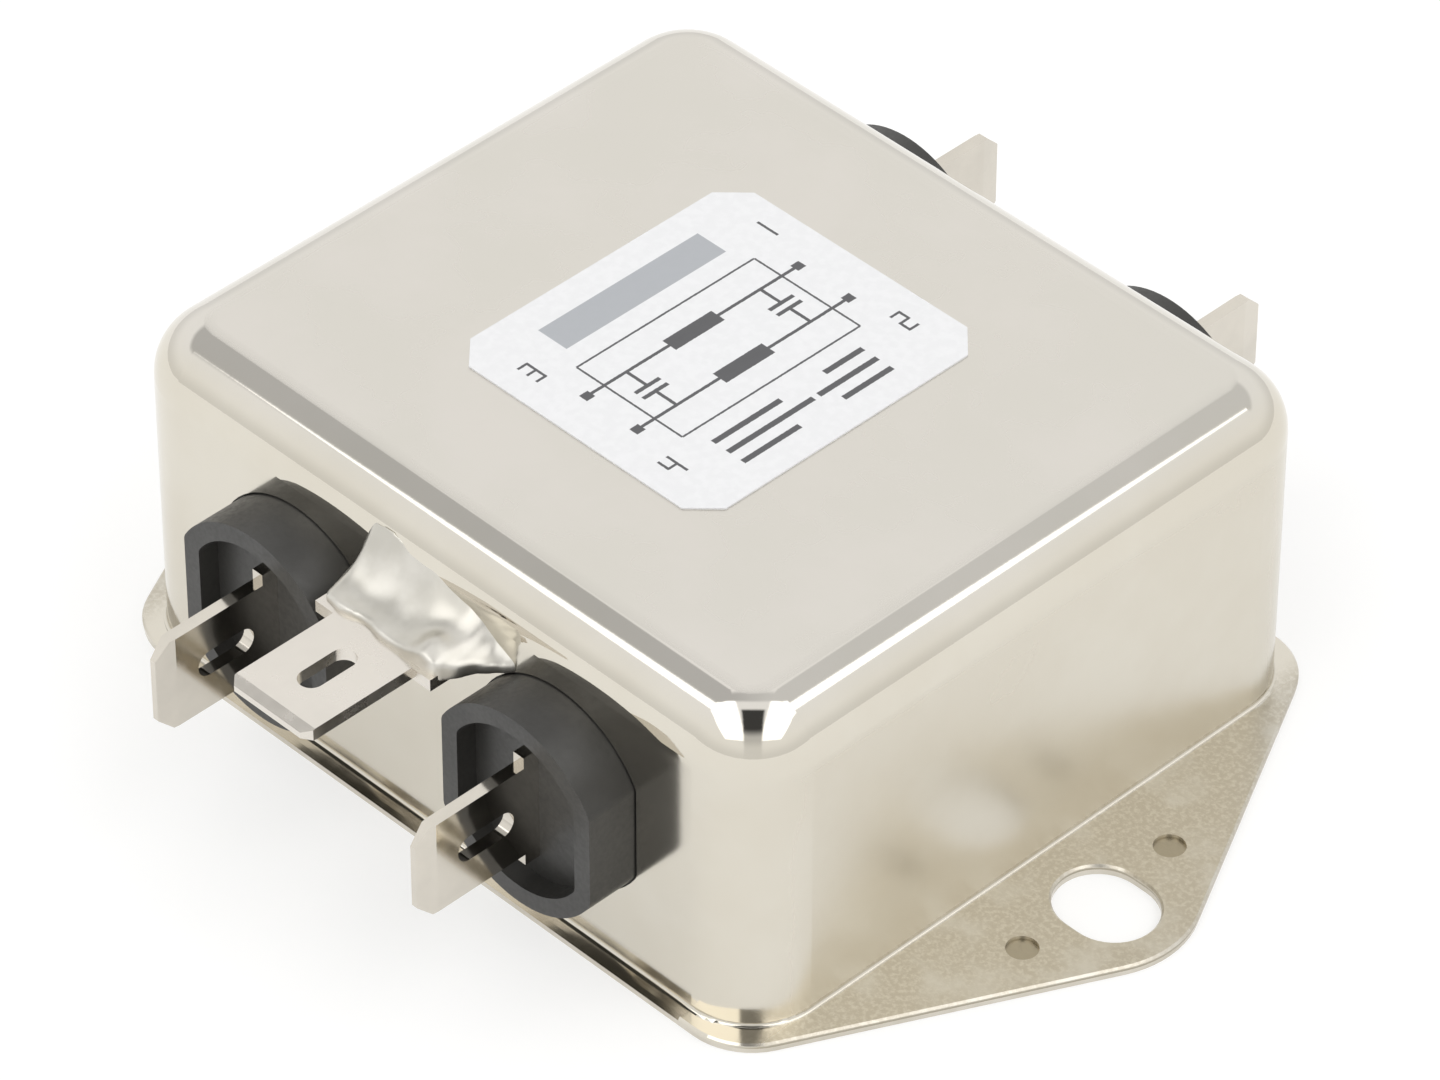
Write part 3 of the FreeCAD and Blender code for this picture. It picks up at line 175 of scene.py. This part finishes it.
def nickel_can():
    """Drawn nickel: satin, duller on top and at the ends, with bright edges and pitted, browner ears. The
    top carries a paler, cooler painted reflection tint, and the stake hollows in the ears carry painted
    shade.
    """
    skin = Surface("nickel_can", (0.69, 0.655, 0.575), 1.0, 0.2)
    place = skin.split(skin.place)

    def under_top(start, end, first=0.0, last=1.0):
        """A ramp up the can between two distances under its top, in millimetres."""
        return skin.ramp(place["Z"], CAN_TOP - start * MM, CAN_TOP - end * MM, first, last)

    def over_flange(start, end, first=0.0, last=1.0):
        """A ramp up the can between two heights over the flange, in millimetres."""
        return skin.ramp(place["Z"], FLANGE_TOP + start * MM, FLANGE_TOP + end * MM, first, last)

    def at_most(rough, zone, most):
        """A roughness held down to a limit inside a zone."""
        return skin.math("MINIMUM", rough, skin.minus(1.0, skin.times(zone, 1.0 - most)))

    top = under_top(1.8, 0.1)
    rounding = skin.times(under_top(4.3, 3.5), under_top(0.08, 0.01, 1.0, 0.0))
    outward = skin.ramp(skin.math("ABSOLUTE", place["X"]), CAN_END - 1.75 * MM, CAN_END + 0.55 * MM)
    foot = over_flange(0.01, 0.07, 1.0, 0.0)
    fold = skin.times(over_flange(0.01, 0.09), over_flange(0.3, 0.55, 1.0, 0.0))
    ear = skin.times(foot, outward)
    # Painted shade: the stake hollows in the ears, sunk under the flange top, are darkened in the colour.
    recess_shade = skin.times(ear, over_flange(-0.23, -0.13, 1.0, 0.0))

    # The second colour is the painted shade of the stake hollows.
    rubbed_color, recess_shade_color = (0.66, 0.635, 0.57), (0.41, 0.37, 0.29)
    cloud = skin.noise(90.0, detail=4.0, rough=0.6)
    pits = skin.noise(3200.0, detail=3.0, rough=0.65)
    wall_color = skin.patches(cloud, 0.35, 0.7, (0.675, 0.635, 0.55), (0.705, 0.67, 0.59))
    # Painted reflection: the top gets a paler, cooler tint than the walls, for the cooler light that it
    # mirrors.
    lid_reflection_tint = skin.patches(cloud, 0.35, 0.7, (0.68, 0.655, 0.60), (0.71, 0.68, 0.63))
    ear_color = skin.patches(pits, 0.42, 0.66, (0.545, 0.505, 0.425), (0.645, 0.61, 0.53))
    ear_color = skin.patches(skin.noise(260.0, detail=3.0, rough=0.6), 0.45, 0.75, ear_color, rubbed_color)
    metal = skin.mix(ear, skin.mix(top, wall_color, lid_reflection_tint), ear_color)
    skin.to(skin.mix(recess_shade, metal, recess_shade_color), "Base Color")

    outward_rougher, top_rougher, edge_smoother = 0.19, 0.15, 0.09
    ear_least, rounding_most, fold_most = 0.32, 0.05, 0.1
    rough = skin.plus(skin.ramp(cloud, 0.3, 0.75, 0.11, 0.15), skin.times(outward, outward_rougher))
    rough = skin.plus(rough, skin.times(top, top_rougher))
    rough = skin.minus(rough, skin.times(skin.math("MAXIMUM", rounding, foot), edge_smoother))
    rough = skin.math("MAXIMUM", rough, skin.times(ear, ear_least))
    rough = at_most(rough, rounding, rounding_most)
    rough = at_most(rough, fold, fold_most)
    skin.to(rough, "Roughness")

    skin.bump(skin.noise(160.0, detail=2.0, rough=0.5), depth=0.02 * MM, strength=0.25)
    skin.bump(skin.noise(1500.0, detail=3.0, rough=0.6), depth=0.004 * MM, strength=0.25)
    skin.bump(skin.times(pits, ear), depth=0.02 * MM, strength=0.45)
    return skin.material


def nickel_plate():
    """Sheared base plate: bright, with faint rolling marks along X."""
    skin = Surface("nickel_plate", (0.66, 0.62, 0.54), 1.0, 0.12)
    cloud = skin.noise(300.0, detail=3.0, rough=0.6)
    skin.to(skin.patches(cloud, 0.35, 0.7, (0.62, 0.58, 0.50), (0.70, 0.66, 0.585)), "Base Color")
    skin.to(skin.ramp(cloud, 0.3, 0.7, 0.08, 0.17), "Roughness")
    marks = skin.noise(900.0, detail=2.0, rough=0.6, where=skin.stretch(0.12, 1.0, 1.0))
    skin.bump(marks, depth=0.006 * MM, strength=0.3)
    return skin.material


def tin(name, low, high, bright):
    """Tin-plated brass with soft clouds where it was handled, and faint marks along Y."""
    skin = Surface(name, (0.78, 0.75, 0.69), 1.0, 0.5 * (low + high))
    cloud = skin.noise(330.0, detail=4.0, rough=0.6)
    skin.to(skin.patches(cloud, 0.3, 0.7, shaded(bright, 0.93), bright), "Base Color")
    skin.to(skin.ramp(cloud, 0.3, 0.72, low, high), "Roughness")
    marks = skin.noise(1400.0, detail=1.0, rough=0.4, where=skin.stretch(1.0, 0.12, 1.0))
    skin.bump(marks, depth=0.002 * MM, strength=0.2)
    return skin.material


def moulding():
    """Black moulded plastic with a fine spark-eroded grain and a dull sheen."""
    skin = Surface("moulding", (0.040, 0.039, 0.037), 0.0, 0.4, {"Specular IOR Level": 0.6})
    grain = skin.noise(3000.0, detail=3.0, rough=0.6)
    cloud = skin.noise(220.0, detail=3.0, rough=0.5)
    skin.to(skin.patches(cloud, 0.3, 0.7, (0.027, 0.026, 0.024), (0.044, 0.043, 0.040)), "Base Color")
    skin.to(skin.ramp(grain, 0.3, 0.7, 0.34, 0.48), "Roughness")
    skin.bump(grain, depth=0.015 * MM, strength=0.3)
    return skin.material


def solder():
    """Solder, satin, with duller frosted patches."""
    skin = Surface("solder", (0.80, 0.785, 0.74), 1.0, 0.22)
    cloud = skin.noise(420.0, detail=3.0, rough=0.55)
    skin.to(skin.patches(cloud, 0.35, 0.7, (0.62, 0.60, 0.545), (0.72, 0.70, 0.65)), "Base Color")
    skin.to(skin.ramp(cloud, 0.3, 0.7, 0.30, 0.46), "Roughness")
    skin.bump(skin.noise(450.0, detail=2.0, rough=0.5, distortion=0.4), depth=0.06 * MM, strength=0.4)
    return skin.material


# Strokes of a seven-segment digit 1 wide and 2 high: middle and half sizes

LYING, UPRIGHT, THICK, SIDE = 0.5, 0.6, 0.12, 0.45
STROKES = {
    "top": (0.0, 1.0, LYING, THICK),
    "middle": (0.0, 0.0, LYING, THICK),
    "bottom": (0.0, -1.0, LYING, THICK),
    "upper left": (-SIDE, 0.5, THICK, UPRIGHT),
    "upper right": (SIDE, 0.5, THICK, UPRIGHT),
    "lower left": (-SIDE, -0.5, THICK, UPRIGHT),
    "lower right": (SIDE, -0.5, THICK, UPRIGHT),
}
DIGITS = {
    "1": ("upper right", "lower right"),
    "2": ("top", "upper right", "middle", "lower left", "bottom"),
    "3": ("top", "upper right", "middle", "lower right", "bottom"),
    "4": ("upper left", "upper right", "middle", "lower right"),
}

# Print on the label in millimetres from its middle, u along Y and v towards -X, with half sizes

GREY_BAND = (0.0, 6.9, 6.2, 1.15)
BORDER_U, BORDER_V, BORDER_HALF = 6.9, 4.2, 0.07
WIRE_V, WIRE_END, WIRE_HALF = 2.0, 8.2, 0.11
COIL_SIZE, DOT_SIZE = (1.9, 0.55), (0.32, 0.32)
CAPACITOR_U, LEAD_V, LEAD_HALF = 5.2, 1.2, 0.8
PLATE_V, PLATE_SIZE = 0.32, (0.95, 0.14)
TEXT_V, TEXT_STEP, TEXT_HALF = -5.7, 1.15, 0.2
TEXT_LEFT, TEXT_RIGHT = -6.0, 5.6
TEXT_ROWS = ((2.6, 1.5), (3.3, 2.3), (2.2, 1.9))
NUMBER_U, NUMBER_V, NUMBER_WIDTH = 9.0, 5.6, 0.75


def digit(sign, along, up, size):
    rows = [STROKES[name] for name in DIGITS[sign]]
    return [(along + size * u, up + size * v, size * wide, size * high) for u, v, wide, high in rows]


def label_marks():
    """Bars of the dark print: middle and half sizes along u and v."""
    marks = []
    for v in (-WIRE_V, WIRE_V):
        marks += [(0.0, v, WIRE_END, WIRE_HALF), (0.0, v, *COIL_SIZE)]
        marks += [(u, v, *DOT_SIZE) for u in (-WIRE_END, WIRE_END)]
    for u in (-CAPACITOR_U, CAPACITOR_U):
        marks += [(u, v, WIRE_HALF, LEAD_HALF) for v in (-LEAD_V, LEAD_V)]
        marks += [(u, v, *PLATE_SIZE) for v in (-PLATE_V, PLATE_V)]
    marks += [(0.0, v, BORDER_U, BORDER_HALF) for v in (-BORDER_V, BORDER_V)]
    marks += [(u, 0.0, BORDER_HALF, BORDER_V) for u in (-BORDER_U, BORDER_U)]
    for row, (left, right) in enumerate(TEXT_ROWS):
        v = TEXT_V - TEXT_STEP * row
        marks += [(TEXT_LEFT + left, v, left, TEXT_HALF), (TEXT_RIGHT - right, v, right, TEXT_HALF)]
    for sign, side_u, side_v in (("1", 1, 1), ("2", 1, -1), ("3", -1, 1), ("4", -1, -1)):
        marks += digit(sign, side_u * NUMBER_U, side_v * NUMBER_V, NUMBER_WIDTH)
    return marks


def label():
    """White foil with a plain wiring scheme, bars and terminal numbers in dark ink and a grey band."""
    coat = {"Coat Weight": 0.15, "Coat Roughness": 0.3}
    skin = Surface("label_foil", (0.78, 0.785, 0.80), 0.0, 0.42, coat)

    def outside(marks):
        """How far outside the nearest bar a point lies."""
        nearest = None
        for u, v, wide, high in marks:
            away = skin.math("SUBTRACT", skin.place, (-v * MM, u * MM, 0.0), "ShaderNodeVectorMath")
            away = skin.math("ABSOLUTE", away, (0.0, 0.0, 0.0), "ShaderNodeVectorMath")
            past = skin.math("SUBTRACT", away, (high * MM, wide * MM, 0.0), "ShaderNodeVectorMath")
            past = skin.split(past)
            here = skin.math("MAXIMUM", past["X"], past["Y"])
            nearest = here if nearest is None else skin.math("MINIMUM", nearest, here)
        return nearest

    blur, worn = 0.02 * MM, 0.06 * MM
    ink_color, ink_cover = (0.035, 0.035, 0.04), 0.94
    band_color, band_cover = (0.27, 0.29, 0.32), 0.75
    fine = skin.noise(1800.0, detail=2.0, rough=0.5)
    paper = skin.patches(fine, 0.35, 0.7, (0.765, 0.77, 0.785), (0.795, 0.80, 0.815))
    band = skin.ramp(outside([GREY_BAND]), -blur, blur, band_cover, 0.0)
    wear = skin.times(skin.minus(skin.noise(5000.0, detail=2.0, rough=0.6), 0.5), worn)
    ink = skin.ramp(skin.plus(outside(label_marks()), wear), -blur, blur, ink_cover, 0.0)
    skin.to(skin.mix(ink, skin.mix(band, paper, band_color), ink_color), "Base Color")
    skin.to(skin.ramp(fine, 0.3, 0.7, 0.38, 0.48), "Roughness")
    skin.bump(fine, depth=0.008 * MM, strength=0.3)
    return skin.material


def plain(name, color, metallic, roughness):
    """A hidden piece: its own colour with slight clouding and grain."""
    skin = Surface(name, color, metallic, roughness)
    cloud = skin.noise(800.0, detail=3.0, rough=0.6)
    skin.to(skin.patches(cloud, 0.3, 0.7, shaded(color, 0.86), shaded(color, 1.08)), "Base Color")
    skin.to(skin.ramp(cloud, 0.3, 0.7, roughness - 0.04, roughness + 0.06), "Roughness")
    skin.bump(skin.noise(2400.0, detail=2.0, rough=0.5), depth=0.01 * MM, strength=0.3)
    return skin.material


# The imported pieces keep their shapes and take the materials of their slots

finishes = {
    "nickel_can": nickel_can(),
    "nickel_plate": nickel_plate(),
    "tinned_brass": tin("tinned_brass", 0.07, 0.13, (0.68, 0.64, 0.57)),
    "tinned_tab": tin("tinned_tab", 0.20, 0.32, (0.77, 0.73, 0.67)),
    "moulding": moulding(),
    "solder": solder(),
    "label_foil": label(),
    "fibre_sheet": plain("fibre_sheet", (0.45, 0.47, 0.38), 0.0, 0.55),
    "ferrite": plain("ferrite", (0.05, 0.09, 0.05), 0.0, 0.5),
    "enamelled_copper": plain("enamelled_copper", (0.55, 0.21, 0.07), 0.9, 0.25),
    "divider_plastic": plain("divider_plastic", (0.75, 0.72, 0.64), 0.0, 0.5),
    "film_case": plain("film_case", (0.66, 0.48, 0.08), 0.0, 0.35),
    "disc_coating": plain("disc_coating", (0.05, 0.16, 0.40), 0.0, 0.3),
    "resistor_body": plain("resistor_body", (0.55, 0.42, 0.25), 0.0, 0.35),
    "resin": plain("resin", (0.045, 0.045, 0.045), 0.0, 0.5),
}
for part in frame["record"]["subparts"]:
    node = nodes[part["node"]]
    node.data.materials.clear()
    node.data.materials.append(finishes[part["material_slot"]])

# Solder over the root of the earth tab: a lumpy fillet between the tab and the wall, in millimetres

SOLDER_ROWS = (
    # x, reach from the wall, height at the wall, height in front, underside
    (-5.4, 0.5, 17.6, 16.9, 16.3),
    (-5.0, 2.0, 19.3, 17.1, 16.3),
    (-4.4, 3.9, 20.3, 17.3, 16.3),
    (-3.0, 4.1, 20.4, 17.3, 16.3),
    (-1.4, 3.8, 20.2, 17.2, 16.3),
    (0.4, 4.1, 19.9, 17.3, 16.3),
    (2.0, 4.1, 19.6, 17.5, 16.3),
    (3.4, 4.1, 19.3, 17.7, 16.3),
    (4.4, 4.1, 18.9, 17.6, 16.3),
    (5.0, 3.2, 18.5, 17.3, 16.3),
    (5.8, 1.7, 18.1, 17.1, 16.3),
    (6.6, 0.9, 17.7, 17.0, 16.3),
    (7.1, 0.4, 17.2, 16.9, 16.4),
)
# How steeply the top falls away from the wall, and the least thickness
HOLLOW = 2.8
THINNEST = 0.3
LUMP_X, LUMP_OUT, LUMP_HEIGHT = 3.5, 2.9, 0.45
LUMP_SIZE_X, LUMP_SIZE_OUT = 1.1, 1.0
WAVES = (
    # height, turn for a millimetre along the wall, turn for one outward, turn at the start
    (0.06, 1.1, 0.8, 0.0),
    (0.04, 1.9, -1.6, 1.0),
)
ACROSS, ALONG = 60, 20
VOXEL = 0.12
SOFTENING, SOFTENING_STEPS = 0.5, 30
solder_low, solder_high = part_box("earth_solder")
wall_y = solder_high[1] / MM


def solder_row(x):
    """The row of the table at a place along the wall, with smooth steps between rows."""
    for first, second in zip(SOLDER_ROWS, SOLDER_ROWS[1:]):
        if x <= second[0]:
            break
    share = (x - first[0]) / (second[0] - first[0])
    share = share * share * (3.0 - 2.0 * share)
    return [p + (q - p) * share for p, q in zip(first[1:], second[1:])]


def solder_heights(x, share):
    """Y, top and underside at a share of the reach, from the wall outward."""
    reach, at_wall, in_front, under = solder_row(x)
    out = share * reach
    top = in_front + (at_wall - in_front) * (1.0 - share) ** HOLLOW
    beside_lump, before_lump = (x - LUMP_X) / LUMP_SIZE_X, (out - LUMP_OUT) / LUMP_SIZE_OUT
    top += LUMP_HEIGHT * math.exp(-beside_lump ** 2 - before_lump ** 2)
    top += sum(high * math.sin(along * x + outward * out + start) for high, along, outward, start in WAVES)
    return wall_y - out, top, min(under, top - THINNEST)


def solder_mesh():
    """The fillet closed: a top and an underside of the same grid, joined round the edge."""
    shape = bmesh.new()
    upper, lower = [], []
    first_x, last_x = SOLDER_ROWS[0][0], SOLDER_ROWS[-1][0]
    for i in range(ACROSS + 1):
        x = first_x + (last_x - first_x) * i / ACROSS
        places = [solder_heights(x, j / ALONG) for j in range(ALONG + 1)]
        upper.append([shape.verts.new((x * MM, y * MM, top * MM)) for y, top, under in places])
        lower.append([shape.verts.new((x * MM, y * MM, under * MM)) for y, top, under in places])
    for i in range(ACROSS):
        for j in range(ALONG):
            shape.faces.new((upper[i][j], upper[i][j + 1], upper[i + 1][j + 1], upper[i + 1][j]))
            shape.faces.new((lower[i][j], lower[i + 1][j], lower[i + 1][j + 1], lower[i][j + 1]))
        for j in (0, ALONG):
            shape.faces.new((upper[i][j], upper[i + 1][j], lower[i + 1][j], lower[i][j]))
    for j in range(ALONG):
        for i in (0, ACROSS):
            shape.faces.new((upper[i][j], lower[i][j], lower[i][j + 1], upper[i][j + 1]))
    bmesh.ops.recalc_face_normals(shape, faces=shape.faces)
    mesh = bpy.data.meshes.new("solder_mass")
    shape.to_mesh(mesh)
    shape.free()
    return mesh


mass = bpy.data.objects.new("solder_mass", solder_mesh())
bpy.context.scene.collection.objects.link(mass)
join = mass.modifiers.new("join", "REMESH")
join.mode = "VOXEL"
join.voxel_size = VOXEL * MM
soften = mass.modifiers.new("soften", "SMOOTH")
soften.factor = SOFTENING
soften.iterations = SOFTENING_STEPS
settled = bpy.data.meshes.new_from_object(mass.evaluated_get(bpy.context.evaluated_depsgraph_get()))
mass.modifiers.clear()
mass.data = settled
for vertex in settled.vertices:
    vertex.co = [min(max(vertex.co[i], solder_low[i]), solder_high[i]) for i in range(3)]
settled.polygons.foreach_set("use_smooth", [True] * len(settled.polygons))
settled.materials.clear()
settled.materials.append(finishes["solder"])
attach(mass, "root")
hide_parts("earth_solder")

# Floor: its glow is for the camera and for surfaces that mirror it, and adds no diffuse light

FLOOR_HALF = 6.0
FLOOR_COLOR = (0.43, 0.43, 0.43)
FLOOR_GLOW, GLOW_COLOR = 0.6, (1.0, 1.0, 0.995, 1.0)
floor_mesh = bpy.data.meshes.new("floor")
shape = bmesh.new()
bmesh.ops.create_grid(shape, x_segments=1, y_segments=1, size=FLOOR_HALF)
shape.to_mesh(floor_mesh)
shape.free()
floor = bpy.data.objects.new("floor", floor_mesh)
bpy.context.scene.collection.objects.link(floor)
floor_extra = {"Specular IOR Level": 0.0, "Emission Color": GLOW_COLOR}
pale = Surface("floor_white", FLOOR_COLOR, 0.0, 0.9, floor_extra)
ray = pale.node("ShaderNodeLightPath").outputs
seen = pale.math("MAXIMUM", ray["Is Camera Ray"], ray["Is Glossy Ray"])
seen = pale.math("MAXIMUM", seen, ray["Is Transmission Ray"])
pale.to(pale.times(seen, FLOOR_GLOW), "Emission Strength")
floor.data.materials.append(pale.material)

# Studio: a white tent with a grey ceiling behind, two bright panels overhead and a dark gap between
# them. It is turned by a fixed angle, with its front towards the photographed corner.

STUDIO_TURN = math.radians(45.52)
STUDIO_COLOR = (1.0, 0.995, 0.985, 1.0)
TENT_FOOT, TENT_TOP = 0.88, 1.05
CEILING_LEFT, CEILING_RIGHT = 0.60, 0.78
PANEL_LEVEL = 2.0
GAP_FOOT, GAP_MIDDLE, GAP_TOP = 0.85, 0.65, 0.06

# Where each begins and is full: parts of the direction (up, beside) or places on the plan

LOWEST_UP = 0.02
TENT_UP = (0.02, 0.42)
CEILING_UP, OVERHEAD_UP = (0.60, 0.68), (0.84, 0.90)
CEILING_BESIDE, CEILING_PLAN_FRONT = (0.225, 0.255), (-0.26, -0.14)
CEILING_SPAN = 0.3
PANEL_BACK, PANEL_FRONT, PANEL_EDGE = -0.21, 1.6, 0.02
PANEL_REACH, PANEL_SPREAD = 1.03, 0.2
PANEL_PLAN_SIDE = (0.24, 0.30)
GAP_BESIDE, GAP_PLAN_FRONT = (0.17, 0.235), (0.02, 0.12)
GAP_MIDDLE_UP, GAP_TOP_UP = (0.30, 0.60), (0.60, 0.80)

world = bpy.data.worlds.new("studio")
bpy.context.scene.world = world
world.use_nodes = True
world.node_tree.nodes.clear()
studio = Tree(world.node_tree)


def between(source, low, high, soft):
    """1 between two places, 0 outside, with soft ends."""
    rise = studio.ramp(source, low - soft, low + soft)
    fall = studio.ramp(source, high - soft, high + soft, 1.0, 0.0)
    return studio.times(rise, fall)


def blend(share, first, second):
    """From the first level to the second as the share goes from 0 to 1."""
    rest = studio.times(first, studio.minus(1.0, share))
    return studio.plus(rest, studio.times(second, share))


direction = studio.split(studio.node("ShaderNodeTexCoord").outputs["Generated"])


def level_part(x, y):
    """How far the direction goes along a level one."""
    return studio.plus(studio.times(direction["X"], x), studio.times(direction["Y"], y))


# The direction to the front, to the right and up, and its place on a flat ceiling at height 1

up = direction["Z"]
front = level_part(math.sin(STUDIO_TURN), -math.cos(STUDIO_TURN))
side = level_part(math.cos(STUDIO_TURN), math.sin(STUDIO_TURN))
beside = studio.math("ABSOLUTE", side)
above = studio.math("MAXIMUM", up, LOWEST_UP)
plan_side = studio.math("DIVIDE", beside, above)
plan_front = studio.math("DIVIDE", front, above)

level = studio.ramp(up, *TENT_UP, TENT_FOOT, TENT_TOP)

ceiling_level = studio.ramp(side, -CEILING_SPAN, CEILING_SPAN, CEILING_LEFT, CEILING_RIGHT)
ceiling = studio.math("MAXIMUM", studio.ramp(beside, *CEILING_BESIDE), studio.ramp(up, *OVERHEAD_UP))
ceiling = studio.times(ceiling, studio.ramp(up, *CEILING_UP))
ceiling = studio.times(ceiling, studio.ramp(plan_front, *CEILING_PLAN_FRONT, 1.0, 0.0))
level = blend(ceiling, level, ceiling_level)

panel_reach = studio.plus(studio.times(plan_front, PANEL_SPREAD), PANEL_REACH)
panel = studio.ramp(studio.minus(panel_reach, plan_side), -PANEL_EDGE, PANEL_EDGE)
panel = studio.times(between(plan_front, PANEL_BACK, PANEL_FRONT, PANEL_EDGE), panel)
panel = studio.times(panel, studio.ramp(plan_side, *PANEL_PLAN_SIDE))
level = blend(panel, level, PANEL_LEVEL)

gap = studio.ramp(beside, *GAP_BESIDE, 1.0, 0.0)
gap = studio.times(gap, studio.ramp(plan_front, *GAP_PLAN_FRONT))
gap_level = studio.ramp(up, *GAP_MIDDLE_UP, GAP_FOOT, GAP_MIDDLE)
gap_level = blend(studio.ramp(up, *GAP_TOP_UP), gap_level, GAP_TOP)
level = blend(gap, level, gap_level)

background = studio.node("ShaderNodeBackground")
studio.feed(level, background.inputs["Strength"])
set_inputs(background, {"Color": STUDIO_COLOR})
studio.feed(background.outputs[0], studio.node("ShaderNodeOutputWorld").inputs["Surface"])

# Camera at the photograph's viewing angle

AZIMUTH, ELEVATION, ROLL = math.radians(45.5218), math.radians(40.6813), math.radians(0.130)
TARGET = Vector((5.6750, -5.4488, 15.0)) * MM
DISTANCE = 453.390 * MM
FOCUS_PX, IMAGE_PX = 8185.80, 1440.0
SENSOR_WIDTH = 36.0
flat = math.cos(ELEVATION)
back = Vector((math.sin(AZIMUTH) * flat, -math.cos(AZIMUTH) * flat, math.sin(ELEVATION)))
right = (-back).cross(Vector((0, 0, 1))).normalized()
upright = right.cross(-back)
turned_right = right * math.cos(ROLL) + upright * math.sin(ROLL)
turned_up = upright * math.cos(ROLL) - right * math.sin(ROLL)
pose = Matrix((turned_right, turned_up, back)).transposed().to_4x4()
pose.translation = TARGET + back * DISTANCE
camera_data = bpy.data.cameras.new("camera")
camera = bpy.data.objects.new("camera", camera_data)
bpy.context.scene.collection.objects.link(camera)
camera.matrix_world = pose
camera_data.sensor_fit = "HORIZONTAL"
camera_data.sensor_width = SENSOR_WIDTH
camera_data.lens = FOCUS_PX / IMAGE_PX * SENSOR_WIDTH
camera_data.clip_start = 0.01
camera_data.clip_end = 50.0
bpy.context.scene.camera = camera
bpy.context.scene.view_settings.view_transform = "Standard"
